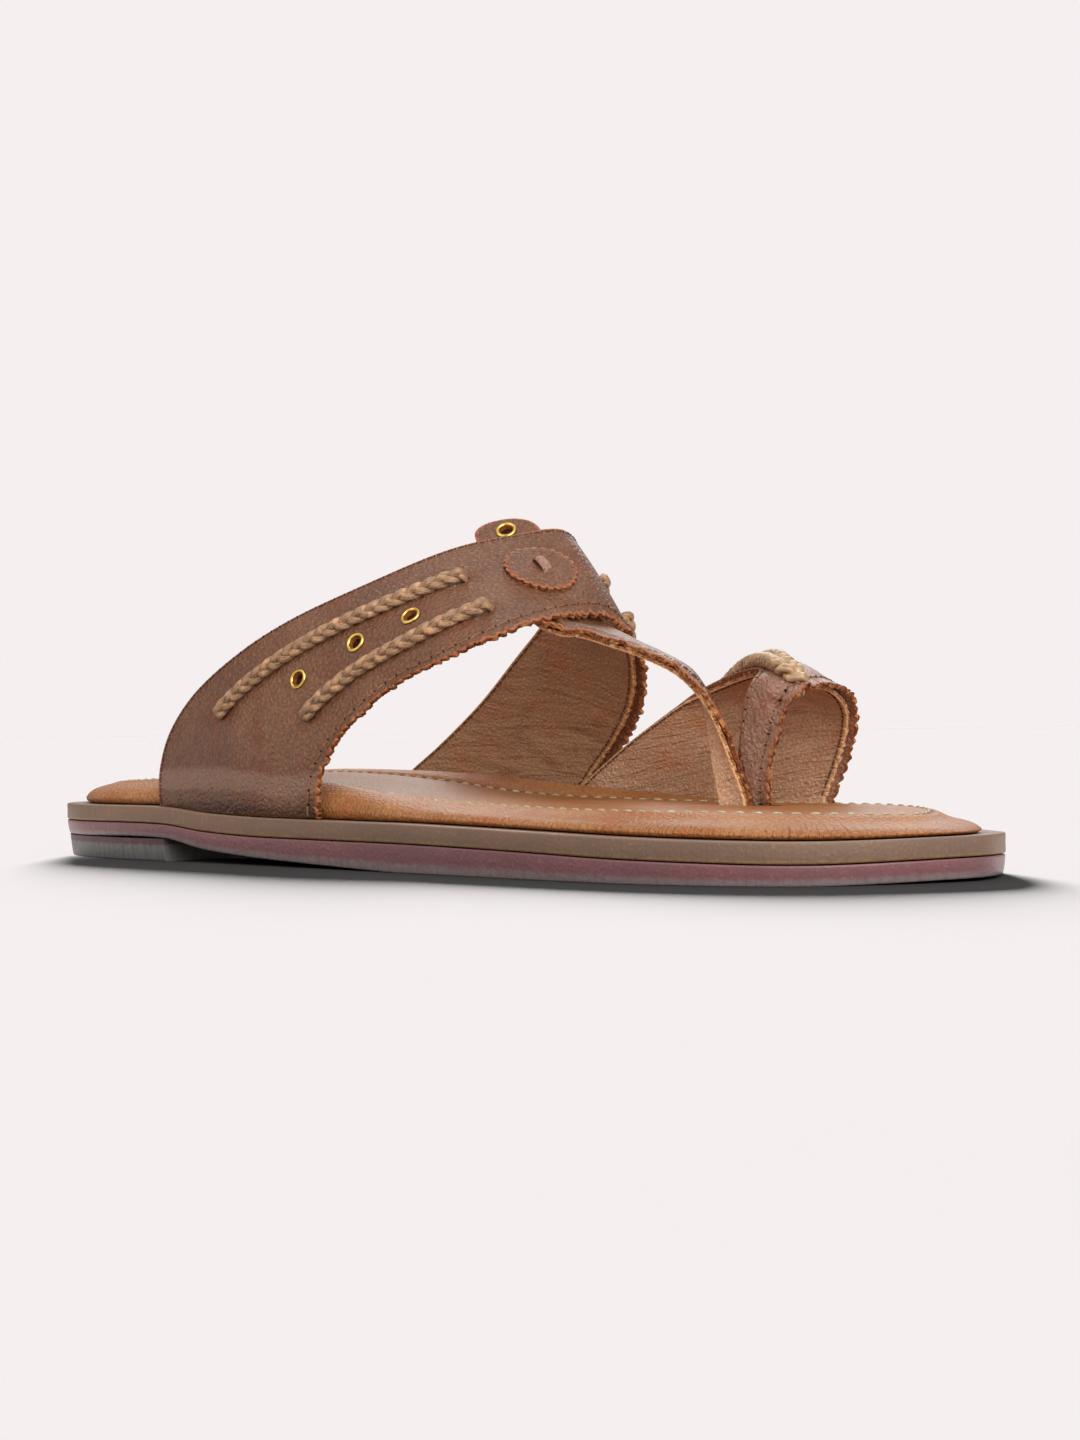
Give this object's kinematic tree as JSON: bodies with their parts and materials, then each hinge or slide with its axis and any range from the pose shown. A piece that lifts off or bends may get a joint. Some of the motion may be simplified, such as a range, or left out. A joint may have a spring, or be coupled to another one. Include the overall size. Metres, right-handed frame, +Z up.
{
  "type": "toe ring sandal",
  "caption": "Flat leather slide sandal for the right foot: wide instep band, toe strap, stitched toe ring, padded footbed and a low stacked heel.",
  "frame": {"origin": "on the floor under the middle of the whole sandal", "axes": "+X to the toe, +Y to the inner side of the right foot, +Z up"},
  "size_m": [0.298, 0.1006, 0.0877],
  "materials": {
    "upper_leather": "smooth full-grain leather with a soft wax sheen",
    "lining_leather": "matt tan lining leather, raw at its cut edges",
    "footbed_leather": "soft tan leather over padding, slightly glossy",
    "welt": "burnished leather edge",
    "outsole": "satin wine-coloured rubber",
    "heel_lift": "matt grey rubber",
    "cord": "waxed tan cord, plaited",
    "thread": "waxed sewing thread",
    "brass": "polished"
  },
  "bodies": {
    "root": {"outsole": "outsole", "heel_block": "heel_lift", "midsole": "welt", "footbed": "footbed_leather", "upper": "upper_leather", "toe_braid": "cord", "disc": "upper_leather", "cord_outer_rear": "cord", "cord_outer_front": "cord", "cord_inner_rear": "cord", "cord_inner_front": "cord", "eyelet_outer_low": "brass", "eyelet_outer_mid": "brass", "eyelet_outer_top": "brass", "eyelet_inner_top": "brass", "eyelet_inner_mid": "brass", "eyelet_inner_low": "brass", "eyelet_tab": "brass"}
  },
  "joints": []
}
